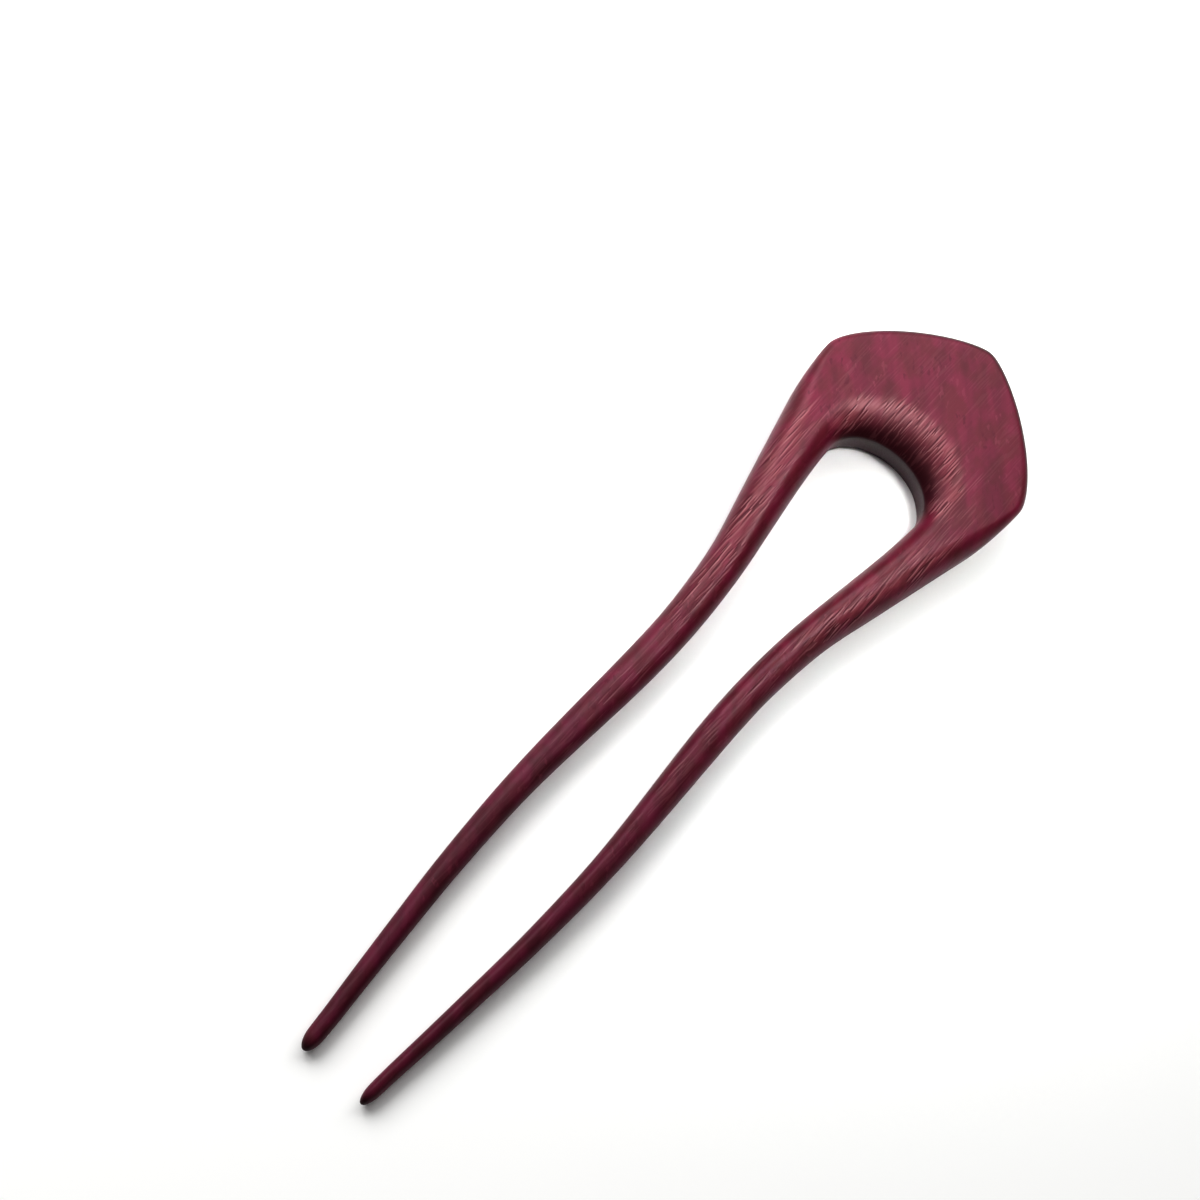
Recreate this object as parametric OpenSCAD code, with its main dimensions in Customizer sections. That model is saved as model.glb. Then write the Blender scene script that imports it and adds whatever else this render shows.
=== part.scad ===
// Hair fork in purpleheart: a shield-shaped head whose two flanks run on as two wavy prongs.
// It lies on its back on Z = 0, with X across, Y along it towards the head, and Z up.
// The whole fork is one loft: upright sections follow each other from one tip, up that prong,
// round the head and down the other prong.

/* [Overall] */
// Length from the apex of the head to the tips
fork_length = 155; // [140:1:175]
// Width of the head across its shoulders
head_width = 41.2; // [38:0.2:46]
// Thickness of the head at the crest round the eye
head_thickness = 9; // [7.5:0.5:11]

/* [Head] */
// Wood between the apex and the top of the eye
crown_depth = 23.8; // [20:0.1:28]
// Drop from the apex to the widest line of the shoulders
shoulder_drop = 17.8; // [14:0.1:20]
// Fullness of the edges between apex and shoulders, 1 being straight
crown_power = 1.3; // [1.2:0.01:1.8]
// Radius that rounds the apex and the shoulders
crown_round = 4; // [2:0.5:7]
// Width of the eye at its widest line
eye_width = 18.6; // [15:0.1:20]
// Rise of the arch over that line
arch_height = 6.5; // [4:0.5:9]

/* [Prongs] */
// Gap between the prongs at the waist
waist_gap = 9.9; // [8:0.1:13]
// Gap between the prongs at the belly
belly_gap = 14; // [11:0.1:17]
// Gap between the tips
tip_gap = 9.2; // [7:0.1:14]
// How far the eye and the gap were cut off the middle, towards +X
gap_offset = 0.3; // [-0.6:0.1:0.6]
// Distance from the widest line of the eye down to the waist
waist_drop = 41; // [36:0.5:46]
// Distance from the widest line of the eye down to the belly
belly_drop = 78; // [70:0.5:86]
// Width of a prong at the waist
waist_width = 5.75; // [4.5:0.05:7.5]
// Width of a prong at the belly
belly_width = 4.1; // [3.4:0.05:5.5]
// Width of a prong at its tip
tip_width = 2.5; // [2:0.05:3.6]
// Thickness of a prong at the waist
waist_thickness = 6.2; // [5:0.1:7.4]
// Thickness of a prong at the belly
belly_thickness = 4.8; // [3.8:0.1:6]
// Thickness of a prong at its tip
tip_thickness = 3; // [2.4:0.1:4]
// Length over which each tip is rounded off
tip_round = 3; // [1.2:0.1:4]

/* [Edges] */
// Fall of the head's face from the crest out to its edge
face_fall = 0.8; // [0.2:0.1:1.4]
// Width of the roll that falls from the crest into the eye
eye_roll = 8; // [6:0.5:10]
// Depth of that roll
eye_roll_depth = 3.2; // [2:0.1:4]
// How far the roll turns over before its crisp lower edge, in degrees
eye_roll_turn = 68; // [50:1:80]
// Round on the outer edge of the head's face
face_edge = 1.6; // [0.8:0.1:2.5]
// Round on the edges of the head's back
back_edge = 0.8; // [0.4:0.1:1.5]

/* [Hidden] */

wood_colour = "#83384B";

// Lines along the fork
apex_y = fork_length / 2;
eye_y = apex_y - crown_depth - arch_height;
tip_y = -fork_length / 2;
prong_length = eye_y - tip_y;
shoulder_rise = crown_depth + arch_height - shoulder_drop;

// Columns: share of the way from the eye to the waist, share of the gap's narrowing
eye_to_waist = [[0.15, 0.13], [0.4, 0.48], [0.65, 0.82], [0.85, 0.965]];
// Columns: share of the way from the belly to the tip, share of the gap's narrowing
belly_to_tip = [[0.25, 0.09], [0.5, 0.375], [0.75, 0.71], [0.9, 0.93]];
// Columns: share of the way from the shoulder to the waist, share of the outline's fall
shoulder_to_waist = [[0.12, 0.06], [0.3, 0.285], [0.5, 0.565], [0.75, 0.89]];

// Parts of a prong's section, as shares of its width and thickness
crest_at = 0.44;
crest_flat = 0.06;
top_share = 0.54;
base_share = 0.4;
// How sharply the head's face leans over at its crest, 0 being a plain corner
crest_ease = 0.15;
// Most of a section's width that the eye's roll may take
roll_share = 0.38;

// Where the flanks take on a prong's section, as shares of the shoulder's rise above the eye's
// widest line: its outer side between these two, its inner side down to the last
outer_from = 1.2;
outer_to = -0.6;
inner_to = -1.4;

// Steps of the loft along the fork and around each section
tip_steps = 6;
tip_flat = 0.17;
prong_steps = 34;
flank_steps = 7;
crown_steps = 15;
eye_roll_steps = 13;
face_steps = 4;
edge_roll_steps = 10;
base_roll_steps = 7;
// How much closer the sections stand on the crown's long edges than at its corners
crown_even = 0.6;

function mix(a, b, t) = a + (b - a) * t;
function clamp01(t) = max(0, min(1, t));
function ease(t) = let (c = clamp01(t)) c * c * (3 - 2 * c);

// A smooth curve through knots [place, value] that never overshoots between two of them
function secant(k, i) = (k[i + 1][1] - k[i][1]) / (k[i + 1][0] - k[i][0]);
function slope(k, i) =
    i == 0 ? 0
    : i == len(k) - 1 ? secant(k, i - 1)
    : let (a = secant(k, i - 1), b = secant(k, i)) a * b <= 0 ? 0 : 2 * a * b / (a + b);
function span(k, x, i = 0) = i >= len(k) - 2 || x <= k[i + 1][0] ? i : span(k, x, i + 1);
function curve(k, x) =
    let (
        i = span(k, x),
        h = k[i + 1][0] - k[i][0],
        t = clamp01((x - k[i][0]) / h)
    )
    mix(k[i][1], k[i + 1][1], ease(t))
    + h * t * (1 - t) * ((1 - t) * slope(k, i) - t * slope(k, i + 1));

// Rows of shares between two knots, as knots
function between(rows, a, b) = [for (r = rows) [mix(a[0], b[0], r[0]), mix(a[1], b[1], r[1])]];

// Half the gap between the prongs, by the distance d below the eye's widest line
eye_knot = [0, eye_width / 2];
waist_knot = [waist_drop, waist_gap / 2];
belly_knot = [belly_drop, belly_gap / 2];
tip_knot = [prong_length, tip_gap / 2];
gap_knots = concat(
    [eye_knot], between(eye_to_waist, eye_knot, waist_knot),
    [waist_knot, belly_knot], between(belly_to_tip, belly_knot, tip_knot), [tip_knot]
);
function inner_x(d) = curve(gap_knots, d);

// Outline of the flanks and prongs, by the same distance
width_knots = [[waist_drop, waist_width], [belly_drop, belly_width], [prong_length, tip_width]];
function lower_outer_x(d) = inner_x(d) + curve(width_knots, d);
shoulder_knot = [-shoulder_rise, head_width / 2];
waist_outer_knot = [waist_drop, lower_outer_x(waist_drop)];
flank_knots = concat(
    [shoulder_knot], between(shoulder_to_waist, shoulder_knot, waist_outer_knot), [waist_outer_knot],
    [for (d = [waist_drop + 6 : 6 : prong_length]) [d, lower_outer_x(d)]]
);
function outer_x(d) = d > waist_drop ? lower_outer_x(d) : curve(flank_knots, d);

// Outline of the crown, a rounded superellipse quadrant, by the direction its edge faces
function crown_point(a) =
    let (
        q = crown_power / (crown_power - 1),
        across = head_width / 2 - crown_round,
        up = shoulder_drop - crown_round,
        c = across * cos(a),
        s = up * sin(a),
        reach = pow(pow(c, q) + pow(s, q), 1 / q)
    )
    [
        across * pow(c / reach, q - 1) + crown_round * cos(a),
        shoulder_rise + up * pow(s / reach, q - 1) + crown_round * sin(a)
    ];

// Thickness by the distance below the eye's widest line
thickness_knots = [
    [0, head_thickness], [waist_drop, waist_thickness],
    [belly_drop, belly_thickness], [prong_length, tip_thickness]
];
function thickness(d) = d <= 0 ? head_thickness : curve(thickness_knots, d);

// Share of the face's fall at a share of the way from its crest to its edge
function lean(t) =
    (norm([t, crest_ease]) - crest_ease) / (norm([1, crest_ease]) - crest_ease);

// One section from the eye's side (u = 0) to the outer side (u = wide), from the arris onwards;
// inner and outer tell how far each side is a prong's, from 0 in the head to 1 in a prong
function section(wide, high, inner, outer) =
    let (
        roll_w = mix(min(eye_roll, roll_share * wide), (crest_at - crest_flat / 2) * wide, inner),
        roll_d = mix(eye_roll_depth, top_share * high, inner),
        turn = mix(eye_roll_turn, 90, inner),
        fall = mix(face_fall, 0, outer),
        edge_w = mix(face_edge, (1 - crest_at - crest_flat / 2) * wide, outer),
        edge_d = mix(face_edge, top_share * high, outer),
        base_w = mix(back_edge, (0.5 - crest_flat / 2) * wide, outer),
        base_d = mix(back_edge, base_share * high, outer),
        face = function(u) high - fall * lean((u - roll_w) / (wide - roll_w))
    )
    concat(
        [for (i = [0 : eye_roll_steps]) let (a = turn * (1 - i / eye_roll_steps))
            [roll_w * (1 - sin(a) / sin(turn)), high - roll_d * (1 - cos(a)) / (1 - cos(turn))]],
        [for (i = [1 : face_steps - 1]) let (u = mix(roll_w, wide - edge_w, i / face_steps))
            [u, face(u)]],
        [for (i = [0 : edge_roll_steps])
            let (a = 90 * i / edge_roll_steps, u = wide - edge_w * (1 - sin(a)))
            [u, face(u) - edge_d * (1 - cos(a))]],
        [for (i = [0 : base_roll_steps]) let (a = 90 * i / base_roll_steps)
            [wide - base_w * (1 - cos(a)), base_d * (1 - sin(a))]],
        [for (i = [0 : base_roll_steps]) let (a = 90 * i / base_roll_steps)
            [base_w * (1 - sin(a)), base_d * (1 - cos(a))]]
    );

// How far a side is a prong's at a height above the eye's widest line
function grown(rise, from, to) = 1 - ease((rise / shoulder_rise - to) / (from - to));

// The section stood upright between an inner and an outer point of the outline
// and drawn in by the share size about its own middle
function on_side(side, p, offset = 0) = [side * p[0] + offset, p[1]];
function ring(inner, outer, high, size = 1) =
    let (
        wide = norm(outer - inner),
        along = (outer - inner) / wide,
        inner_grown = grown(outer[1], 1, inner_to),
        outer_grown = grown(outer[1], outer_from, outer_to)
    )
    [for (p = section(wide, high, inner_grown, outer_grown))
        let (
            u = wide / 2 + (p[0] - wide / 2) * size,
            z = high / 2 + (p[1] - high / 2) * size
        )
        [inner[0] + along[0] * u, eye_y + inner[1] + along[1] * u, z]];

// A point of the eye's arch, facing an outer point of the head
function arch_point(outer) =
    let (a = atan2(outer[1], outer[0])) [eye_width / 2 * cos(a), arch_height * sin(a)];
// Both outlines on one side of the fork, the inner one off the middle by the gap's offset
function head_ring(side, outer) =
    ring(on_side(side, arch_point(outer), gap_offset), on_side(side, outer), head_thickness);
function prong_ring(side, d, size = 1) =
    ring(on_side(side, [inner_x(d), -d], gap_offset), on_side(side, [outer_x(d), -d]), thickness(d),
        size);

// Sections on one side, from the tip to the apex
function half(side) = concat(
    [for (i = [0 : tip_steps - 1]) let (q = cos(90 * i / tip_steps))
        prong_ring(side, prong_length - tip_round * (1 - q), max(tip_flat, sqrt(1 - q * q)))],
    [for (i = [0 : prong_steps - 1])
        prong_ring(side, (prong_length - tip_round) * (1 - i / prong_steps))],
    [for (i = [0 : flank_steps - 1]) let (rise = shoulder_rise * i / flank_steps)
        head_ring(side, [outer_x(-rise), rise])],
    [for (i = [0 : crown_steps]) let (t = i / crown_steps)
        head_ring(side, crown_point(90 * (t + crown_even * sin(360 * t) / (2 * PI))))]
);
right_half = half(1);
left_half = half(-1);
middle = len(right_half) - 1;
rings = concat(right_half, [for (k = [middle - 1 : -1 : 0]) left_half[k]]);

// Skin between neighbouring rings, its diagonals mirrored about the middle one, and a cap on each tip
module loft(rings, middle) {
    n = len(rings[0]);
    last = len(rings) - 1;
    sides = [for (k = [0 : last - 1], i = [0 : n - 1])
        let (
            j = (i + 1) % n,
            a = k * n + i, b = k * n + j,
            c = (k + 1) * n + j, d = (k + 1) * n + i
        )
        each k < middle ? [[a, c, b], [a, d, c]] : [[a, d, b], [b, d, c]]];
    caps = [[for (i = [0 : n - 1]) i], [for (i = [n - 1 : -1 : 0]) last * n + i]];
    polyhedron(points = [for (r = rings) each r], faces = concat(sides, caps));
}

module fork() {
    color(wood_colour) loft(rings, middle);
}

fork();
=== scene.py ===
"""Purpleheart hair fork, lying on its back on a pale floor in soft light."""

import math
from typing import NamedTuple

import bmesh
import bpy
from mathutils import Matrix, Vector


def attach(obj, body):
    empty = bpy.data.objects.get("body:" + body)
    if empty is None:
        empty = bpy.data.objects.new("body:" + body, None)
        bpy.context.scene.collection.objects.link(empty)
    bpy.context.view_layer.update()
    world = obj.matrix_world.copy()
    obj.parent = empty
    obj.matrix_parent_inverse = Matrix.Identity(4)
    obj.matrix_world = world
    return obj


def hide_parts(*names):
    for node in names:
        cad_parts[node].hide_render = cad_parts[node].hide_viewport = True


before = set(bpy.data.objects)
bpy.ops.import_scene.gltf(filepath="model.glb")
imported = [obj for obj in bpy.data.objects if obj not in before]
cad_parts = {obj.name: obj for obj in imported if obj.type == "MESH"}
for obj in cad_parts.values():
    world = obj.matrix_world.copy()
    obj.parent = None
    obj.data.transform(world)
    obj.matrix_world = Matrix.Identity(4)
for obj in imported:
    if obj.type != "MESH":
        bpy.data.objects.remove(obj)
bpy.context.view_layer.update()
scene = bpy.context.scene

MM = 0.001

# Camera, at the photograph's angle
IMAGE_WIDTH = 1200
FOCAL_PX = 2167
SENSOR_WIDTH = 36
CLIP_START = 10 * MM
CAMERA_TARGET = Vector((-19.2, 3.3, 4.0)) * MM
CAMERA_DISTANCE = 339.4 * MM
CAMERA_AZIMUTH = math.radians(17.9)
CAMERA_ELEVATION = math.radians(75)
CAMERA_ROLL = math.radians(24.8)

# Surface of the piece. Triangles join into quads where they bend and skew less than these angles.
# An edge that bends more than the arris angle is broken by a small bevel.
WELD_DISTANCE = 0.002 * MM
JOIN_BEND = math.radians(35)
JOIN_SKEW = math.radians(180)
ARRIS_ANGLE = math.radians(25)
ARRIS_WIDTH = 0.25 * MM
ARRIS_SEGMENTS = 2
ROUND_PROFILE = 0.5
SUBDIVISIONS = 1

# Wood colours, linear
FACE_PURPLE = (0.1225, 0.0113, 0.0315)
FACE_BROWN = (0.097, 0.0115, 0.0219)
DARK_FLECK = (0.072, 0.004, 0.016)
PALE_FLECK = (0.190, 0.036, 0.062)
# Pale open grain, partly a painted highlight on faces that slant to the grain
OPEN_GRAIN_AND_PAINTED_SHEEN = (0.250, 0.074, 0.086)
# Dark end grain, partly painted shade on faces turned along the grain
END_GRAIN_AND_PAINTED_SHADE = (0.024, 0.002, 0.005)
# Painted glint beside each pore
PAINTED_PORE_GLINT = (0.450, 0.210, 0.220)
PORE = (0.050, 0.006, 0.012)
# Darker and more purple towards the tips, partly painted shade
TIP_SHADE_AND_TINT = (0.84, 0.86, 0.98)

# How much of the wood below it each colour covers where it is full. The cover of the open grain and its
# painted sheen goes from the first share between the fibres to the second on them.
DARK_FLECK_COVER = 0.6
PALE_FLECK_COVER = 0.3
OPEN_GRAIN_AND_SHEEN_COVER = (0.42, 0.80)
END_GRAIN_AND_SHADE_COVER = 0.9
PORE_GLINT_COVER = 0.4
PORE_COVER = 0.9

# The grain falls this much towards the head, and the figure lies at this turn to it
GRAIN_FALL = math.radians(4)
FIGURE_TURN = math.radians(43)


class Waves(NamedTuple):
    """Noise in the wood: its wave lengths in millimetres, and a seed that moves it in metres."""

    across: float
    along: float
    deep: float
    detail: float = 2
    turn: float = 0
    seed: float = 0


GRAIN_DRIFT = Waves(30, 50, 30, detail=1)
FIBRES = Waves(0.3, 6, 0.9, detail=3, seed=0.1)
FINE_FIBRES = Waves(0.2, 3, 0.6, seed=0.3)
RAGGED_EDGE = Waves(0.8, 8, 2, detail=1, seed=0.6)
PORES = Waves(0.26, 4.5, 2.7, detail=0, seed=0.7)
PORE_GROUPS = Waves(3, 7, 3, detail=1, seed=0.5)
FIGURE = Waves(2.5, 14, 4, turn=FIGURE_TURN, seed=0.2)
MOTTLE = Waves(3.2, 4.5, 3, detail=3, turn=FIGURE_TURN, seed=0.9)
DARK_FLECKS = Waves(0.9, 2, 0.9, turn=FIGURE_TURN, seed=0.4)
DARK_FLECK_GROUPS = Waves(5, 9, 5, detail=0, seed=0.8)
PALE_FLECKS = Waves(0.9, 2, 0.9, turn=FIGURE_TURN, seed=1.3)
PALE_FLECK_GROUPS = Waves(5, 9, 5, detail=0, seed=1.1)

# How far the grain wanders sideways, and how far the painted glint lies beside its pore
DRIFT_WIDTH = 0.8 * MM
PORE_GLINT_SHIFT = 0.22 * MM

# Levels of a noise at which its look begins and is full
PORE_LEVELS = (0.57, 0.62)
PORE_GROUP_LEVELS = (0.36, 0.55)
FIGURE_LEVELS = (0.35, 0.65)
MOTTLE_LEVELS = (0.38, 0.62)
FLECK_LEVELS = (0.60, 0.68)
DARK_FLECK_GROUP_LEVELS = (0.50, 0.60)
PALE_FLECK_GROUP_LEVELS = (0.48, 0.60)
SHEEN_STREAK_LEVELS = (0.38, 0.66)
FIBRE_LEVELS = (0.30, 0.70)
FINE_FIBRE_LEVELS = (0.35, 0.65)
SHEEN_LEVELS = (0.30, 0.70)

# How squarely the grain is cut, from 0 along it to 1 across it, where each look begins and is full
OPEN_GRAIN_AND_SHEEN_CUT = (0.03, 0.24)
END_GRAIN_AND_SHADE_CUT = (0.15, 0.66)
# How flat the surface lies, from 0 upright to 1 level, where each look begins and is full
PORES_FLATNESS = (0.45, 0.75)
OPEN_GRAIN_AND_SHEEN_FLATNESS = (0.65, 0.90)

# Places along the fork where each look begins and is full. The grain of the eye's sides is cut the
# other way. The last pair lies across the fork, from the head's side edges inwards.
OPEN_GRAIN_AND_SHEEN_ENDS = (-12 * MM, 50 * MM)
PORE_ENDS = (-32 * MM, 8 * MM)
EYE_SIDES_END = (52 * MM, 44 * MM)
TIP_SHADE_AND_TINT_ENDS = (45 * MM, -45 * MM)
DULL_TIP_ENDS = (20 * MM, -40 * MM)
HEAD_SIDES = (17.5 * MM, 15 * MM)

# What follows a look: first where there is none of it, then where it is full
RAGGED_CUT = (-0.1, 0.1)
PORES_IN_OPEN_GRAIN = (0.07, 1.0)
PORES_IN_GROUP = (0.25, 1.0)
PORES_IN_END_GRAIN_AND_SHADE = (1.0, 0.2)
OPEN_GRAIN_AND_SHEEN_IN_END_GRAIN_AND_SHADE = (1.0, 0.4)
FIBRE_CONTRAST = (0.018, 0.118)
FINE_FIBRE_CONTRAST = (-0.01, 0.14)
FIGURE_SHADES = (0.86, 1.12)
ROUGHNESS = (0.44, 0.39)
DULL_TIP = (1.0, 1.25)
FIBRE_RELIEF = (0.015, 0.27)

# Oiled surface
PORE_ROUGHNESS = 0.3
REFRACTION = 1.35
RELIEF_DEPTH = 0.05 * MM

# Floor and light, in metres
FLOOR_REACH = 3
FLOOR_COLOUR = (0.95, 0.95, 0.94)
FLOOR_ROUGHNESS = 0.9
WORLD_COLOUR = (1, 1, 1)
WORLD_STRENGTH = 0.12
# Columns: name, place, aim and size in metres, spread in degrees, watts
LIGHTS = (
    ("ceiling", (0.050, 0.11, 0.42), (-0.019, 0.060, 0), (0.13, 0.10), 20, 0.027),
    ("side", (-0.42, 0.06, 0.38), (0, 0, 0), (0.40, 0.34), 180, 1.7),
    ("window", (-0.28, 0.65, 0.58), (0, 0.06, 0), (1.30, 0.50), 180, 6.9),
)


def camera():
    """Looks at the target from the tips' side, rolled so that the head points to the upper right."""
    out = Vector(
        (
            math.sin(CAMERA_AZIMUTH) * math.cos(CAMERA_ELEVATION),
            -math.cos(CAMERA_AZIMUTH) * math.cos(CAMERA_ELEVATION),
            math.sin(CAMERA_ELEVATION),
        )
    )
    right = (-out).cross(Vector((0, 0, 1))).normalized()
    up = out.cross(right)
    turn = Matrix.Rotation(CAMERA_ROLL, 3, out)
    axes = Matrix((turn @ right, turn @ up, out)).transposed()
    data = bpy.data.cameras.new("camera")
    data.sensor_width = SENSOR_WIDTH
    data.lens = FOCAL_PX * SENSOR_WIDTH / IMAGE_WIDTH
    data.clip_start = CLIP_START
    obj = bpy.data.objects.new("camera", data)
    obj.matrix_world = Matrix.Translation(CAMERA_TARGET + CAMERA_DISTANCE * out) @ axes.to_4x4()
    scene.collection.objects.link(obj)
    scene.camera = obj


class Nodes:
    """Short calls for building one material's node tree."""

    def __init__(self, name):
        self.material = bpy.data.materials.new(name)
        self.material.use_nodes = True
        self.tree = self.material.node_tree
        self.shader = self.tree.nodes["Principled BSDF"]

    def plug(self, socket, value):
        if isinstance(value, bpy.types.NodeSocket):
            self.tree.links.new(value, socket)
        elif value is not None:
            socket.default_value = value

    def node(self, kind, inputs=(), **settings):
        made = self.tree.nodes.new(kind)
        for name, value in settings.items():
            setattr(made, name, value)
        for key, value in dict(inputs).items():
            self.plug(made.inputs[key], value)
        return made

    def math(self, operation, a, b=None, c=None):
        made = self.node("ShaderNodeMath", operation=operation)
        for socket, value in zip(made.inputs, (a, b, c)):
            self.plug(socket, value)
        return made.outputs[0]

    def times(self, first, *others):
        """Product of two values or more."""
        for other in others:
            first = self.math("MULTIPLY", first, other)
        return first

    def ramp(self, value, low, high, to_low=0.0, to_high=1.0):
        """Smooth step of a value from one range to another."""
        inputs = {0: value, 1: low, 2: high, 3: to_low, 4: to_high}
        return self.node("ShaderNodeMapRange", inputs, interpolation_type="SMOOTHSTEP").outputs[0]

    def fade(self, share, none, full):
        """Straight line from one number, where the share is 0, to another, where it is 1."""
        return self.math("MULTIPLY_ADD", share, full - none, none)

    def split(self, vector):
        return self.node("ShaderNodeSeparateXYZ", {0: vector}).outputs

    def noise(self, vector, waves, shift=0.0):
        """Noise of the given waves, moved sideways by a shift."""
        inputs = {
            "Vector": vector,
            "Location": (waves.seed + shift, waves.seed, waves.seed),
            "Rotation": (0, 0, waves.turn),
            "Scale": (waves.across * MM, waves.along * MM, waves.deep * MM),
        }
        spot = self.node("ShaderNodeMapping", inputs, vector_type="TEXTURE").outputs[0]
        inputs = {"Vector": spot, "Scale": 1.0, "Detail": waves.detail}
        return self.node("ShaderNodeTexNoise", inputs).outputs["Fac"]

    def blend(self, factor, a, b, mode="MIX"):
        made = self.node("ShaderNodeMix", data_type="RGBA", blend_type=mode)
        self.plug(made.inputs[0], factor)
        self.plug(made.inputs[6], a if isinstance(a, bpy.types.NodeSocket) else (*a, 1))
        self.plug(made.inputs[7], b if isinstance(b, bpy.types.NodeSocket) else (*b, 1))
        return made.outputs[2]


class Purpleheart(Nodes):
    """Oiled purpleheart with its grain along Y, cut to the fork's shape."""

    def __init__(self):
        super().__init__("purpleheart")
        place = self.node("ShaderNodeTexCoord")
        self.spot = place.outputs["Object"]
        self.normal = place.outputs["Normal"]
        self.x, self.y, self.z = self.split(self.spot)
        self.grow()
        self.cut()
        self.open_pores()
        self.paint()
        self.oil()

    def grow(self):
        """Fibres along a grain that wanders a little as it runs along the fork."""
        drift = self.times(self.noise(self.spot, GRAIN_DRIFT), DRIFT_WIDTH)
        inputs = {0: self.math("ADD", self.x, drift), 1: self.y, 2: self.z}
        drifted = self.node("ShaderNodeCombineXYZ", inputs).outputs[0]
        inputs = {"Vector": drifted, "Angle": GRAIN_FALL}
        self.grain = self.node("ShaderNodeVectorRotate", inputs, rotation_type="X_AXIS").outputs[0]
        self.fibres = self.noise(self.grain, FIBRES)
        self.fine_fibres = self.noise(self.grain, FINE_FIBRES)

    def cut(self):
        """Open grain with a painted sheen where the surface cuts the fibres at a slant, end grain with
        painted shade where squarely.
        """
        along = (0, math.cos(GRAIN_FALL), -math.sin(GRAIN_FALL))
        inputs = {0: self.normal, 1: along}
        facing = self.node("ShaderNodeVectorMath", inputs, operation="DOT_PRODUCT").outputs["Value"]
        flatness = self.math("ABSOLUTE", self.split(self.normal)[2])

        ragged = self.fade(self.noise(self.grain, RAGGED_EDGE), *RAGGED_CUT)
        tips_side = self.ramp(self.math("MULTIPLY_ADD", facing, -1.0, ragged), *OPEN_GRAIN_AND_SHEEN_CUT)
        eye_side = self.times(self.ramp(facing, *OPEN_GRAIN_AND_SHEEN_CUT), self.ramp(self.y, *EYE_SIDES_END))
        slanted = self.math("MAXIMUM", tips_side, eye_side)
        slanted = self.times(slanted, self.ramp(self.math("ABSOLUTE", self.x), *HEAD_SIDES))

        # Dark end grain, partly painted shade where the surface turns along the grain
        self.end_grain_and_shade = self.ramp(self.math("ABSOLUTE", facing), *END_GRAIN_AND_SHADE_CUT)
        # Open grain, whose pale coat is partly a painted highlight
        self.open_grain_and_sheen = self.times(
            slanted,
            self.ramp(flatness, *OPEN_GRAIN_AND_SHEEN_FLATNESS),
            self.ramp(self.y, *OPEN_GRAIN_AND_SHEEN_ENDS),
            self.fade(self.end_grain_and_shade, *OPEN_GRAIN_AND_SHEEN_IN_END_GRAIN_AND_SHADE),
        )
        pored = self.times(slanted, self.ramp(flatness, *PORES_FLATNESS), self.ramp(self.y, *PORE_ENDS))
        groups = self.ramp(self.noise(self.spot, PORE_GROUPS), *PORE_GROUP_LEVELS)
        self.porous = self.times(
            self.fade(pored, *PORES_IN_OPEN_GRAIN),
            self.fade(groups, *PORES_IN_GROUP),
            self.fade(self.end_grain_and_shade, *PORES_IN_END_GRAIN_AND_SHADE),
        )

    def open_pores(self):
        """Short pores along the grain, each with a painted glint beside it."""
        pores = self.ramp(self.noise(self.grain, PORES), *PORE_LEVELS)
        # Painted glints, each beside its pore
        pore_glints = self.ramp(self.noise(self.grain, PORES, PORE_GLINT_SHIFT), *PORE_LEVELS)
        self.pores = self.times(pores, self.porous)
        self.pore_glints = self.times(pore_glints, self.porous)

    def flecks(self, waves, groups, group_levels):
        """Small flecks that come in groups."""
        flecks = self.ramp(self.noise(self.spot, waves), *FLECK_LEVELS)
        return self.times(flecks, self.ramp(self.noise(self.spot, groups), *group_levels))

    def shade(self):
        """Lighter and darker fibres and figure, around 1."""
        fibres = self.ramp(self.fibres, *FIBRE_LEVELS, -1.0, 1.0)
        fine = self.ramp(self.fine_fibres, *FINE_FIBRE_LEVELS, -1.0, 1.0)
        shade = self.math("MULTIPLY_ADD", fibres, self.fade(self.open_grain_and_sheen, *FIBRE_CONTRAST), 1.0)
        contrast = self.fade(self.porous, *FINE_FIBRE_CONTRAST)
        shade = self.math("MULTIPLY_ADD", fine, contrast, shade)
        figure = self.ramp(self.noise(self.spot, FIGURE), *FIGURE_LEVELS, *FIGURE_SHADES)
        shade = self.times(shade, figure)
        return self.node("ShaderNodeCombineColor", {0: shade, 1: shade, 2: shade}).outputs[0]

    def paint(self):
        """Mottled purple and brown, darker towards the tips partly as painted shade, with flecks, open
        grain with its painted sheen, end grain with its painted shade, pores and their painted glints
        laid over it.
        """
        mottle = self.ramp(self.noise(self.spot, MOTTLE), *MOTTLE_LEVELS)
        dark_flecks = self.flecks(DARK_FLECKS, DARK_FLECK_GROUPS, DARK_FLECK_GROUP_LEVELS)
        pale_flecks = self.flecks(PALE_FLECKS, PALE_FLECK_GROUPS, PALE_FLECK_GROUP_LEVELS)
        # Painted sheen streaks along the fibres in the open grain's pale coat
        sheen_streaks = self.fade(self.ramp(self.fibres, *SHEEN_STREAK_LEVELS), *OPEN_GRAIN_AND_SHEEN_COVER)

        colour = self.blend(mottle, FACE_PURPLE, FACE_BROWN)
        colour = self.blend(1.0, colour, self.shade(), "MULTIPLY")
        # Darker towards the tips, partly painted shade
        colour = self.blend(self.ramp(self.y, *TIP_SHADE_AND_TINT_ENDS), colour, TIP_SHADE_AND_TINT, "MULTIPLY")
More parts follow.
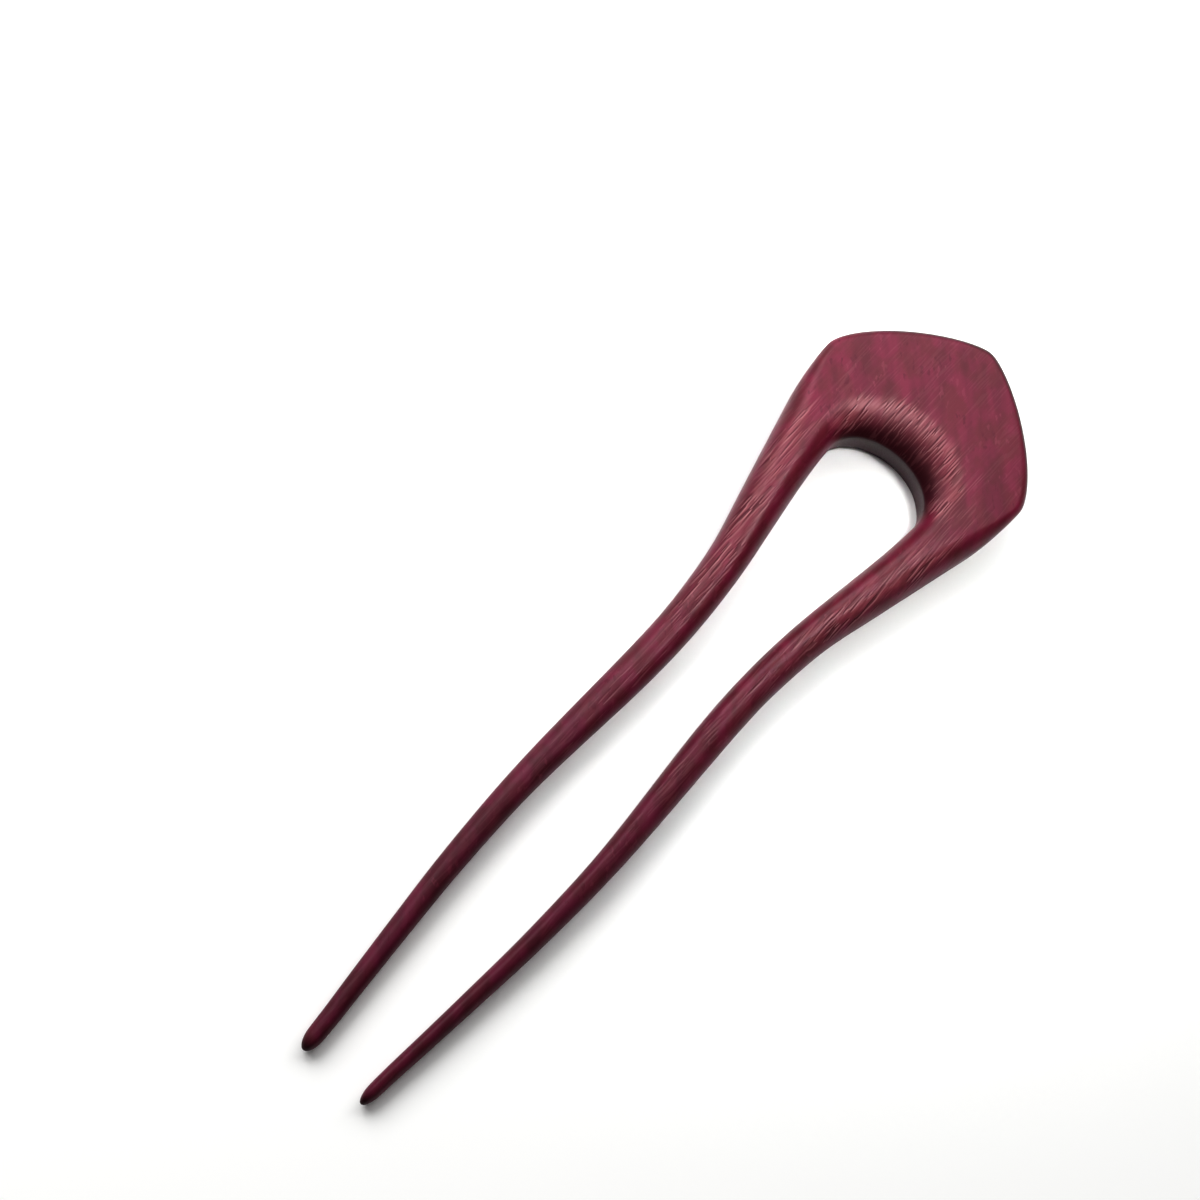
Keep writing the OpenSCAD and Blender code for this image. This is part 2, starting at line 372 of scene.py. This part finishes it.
        # The open grain coat is partly a painted highlight, the end grain coat partly painted shade, the
        # pore glints painted highlights
        coats = (
            (dark_flecks, DARK_FLECK_COVER, DARK_FLECK),
            (pale_flecks, PALE_FLECK_COVER, PALE_FLECK),
            (self.open_grain_and_sheen, sheen_streaks, OPEN_GRAIN_AND_PAINTED_SHEEN),
            (self.end_grain_and_shade, END_GRAIN_AND_SHADE_COVER, END_GRAIN_AND_PAINTED_SHADE),
            (self.pore_glints, PORE_GLINT_COVER, PAINTED_PORE_GLINT),
            (self.pores, PORE_COVER, PORE),
        )
        for look, cover, coat in coats:
            colour = self.blend(self.times(look, cover), colour, coat)
        self.plug(self.shader.inputs["Base Color"], colour)

    def oil(self):
        """Soft gloss, duller in the pores and at the tips, over the relief of fibres and pores."""
        rough = self.ramp(self.fine_fibres, *SHEEN_LEVELS, *ROUGHNESS)
        rough = self.times(rough, self.ramp(self.y, *DULL_TIP_ENDS, *DULL_TIP))
        rough = self.math("MULTIPLY_ADD", self.pores, PORE_ROUGHNESS, rough)
        self.plug(self.shader.inputs["Roughness"], rough)
        self.plug(self.shader.inputs["IOR"], REFRACTION)

        relief = self.math("ADD", self.fibres, self.fine_fibres)
        relief = self.times(relief, self.fade(self.open_grain_and_sheen, *FIBRE_RELIEF))
        relief = self.math("SUBTRACT", relief, self.pores)
        bump = self.node("ShaderNodeBump", {"Height": relief, "Strength": 1.0, "Distance": RELIEF_DEPTH})
        self.plug(self.shader.inputs["Normal"], bump.outputs[0])


def fork(material):
    """The lofted fork with its facets smoothed and its crisp arris just broken."""
    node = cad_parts["fork"]
    mesh = bpy.data.meshes.new("fork_wood")
    bm = bmesh.new()
    bm.from_mesh(node.data)
    bm.transform(node.matrix_world)
    bmesh.ops.remove_doubles(bm, verts=bm.verts, dist=WELD_DISTANCE)
    bmesh.ops.join_triangles(
        bm, faces=bm.faces, angle_face_threshold=JOIN_BEND, angle_shape_threshold=JOIN_SKEW
    )
    arris = [e for e in bm.edges if e.is_manifold and e.calc_face_angle() > ARRIS_ANGLE]
    bmesh.ops.bevel(
        bm, geom=arris, offset=ARRIS_WIDTH, segments=ARRIS_SEGMENTS, profile=ROUND_PROFILE, affect="EDGES"
    )
    for face in bm.faces:
        face.smooth = True
    bm.to_mesh(mesh)
    bm.free()
    mesh.materials.append(material)
    piece = bpy.data.objects.new("fork_wood", mesh)
    scene.collection.objects.link(piece)
    smooth = piece.modifiers.new("smooth", "SUBSURF")
    smooth.levels = smooth.render_levels = SUBDIVISIONS
    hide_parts("fork")
    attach(piece, "root")


def floor():
    """Pale floor that the fork lies on."""
    nodes = Nodes("floor")
    nodes.plug(nodes.shader.inputs["Base Color"], (*FLOOR_COLOUR, 1))
    nodes.plug(nodes.shader.inputs["Roughness"], FLOOR_ROUGHNESS)
    mesh = bpy.data.meshes.new("floor")
    bm = bmesh.new()
    bmesh.ops.create_grid(bm, x_segments=1, y_segments=1, size=FLOOR_REACH)
    bm.to_mesh(mesh)
    bm.free()
    mesh.materials.append(nodes.material)
    obj = bpy.data.objects.new("floor", mesh)
    scene.collection.objects.link(obj)


def soft_light(name, place, aim, size, spread, watts):
    """A rectangular soft light at a place, facing the point that it aims at."""
    data = bpy.data.lights.new(name, "AREA")
    data.shape = "RECTANGLE"
    data.size, data.size_y = size
    data.spread = math.radians(spread)
    data.energy = watts
    obj = bpy.data.objects.new(name, data)
    obj.location = place
    obj.rotation_euler = (Vector(aim) - Vector(place)).to_track_quat("-Z", "Y").to_euler()
    scene.collection.objects.link(obj)


def lights():
    """A broad window beyond the head, a weaker light on the left, a faint one above and even fill."""
    world = bpy.data.worlds.new("world")
    world.use_nodes = True
    sky = world.node_tree.nodes["Background"]
    sky.inputs["Color"].default_value = (*WORLD_COLOUR, 1)
    sky.inputs["Strength"].default_value = WORLD_STRENGTH
    scene.world = world
    for row in LIGHTS:
        soft_light(*row)


def tones():
    """Plain view of the colours, with the photograph's strong contrast."""
    scene.view_settings.view_transform = "Standard"
    scene.view_settings.look = "High Contrast"


camera()
fork(Purpleheart().material)
floor()
lights()
tones()
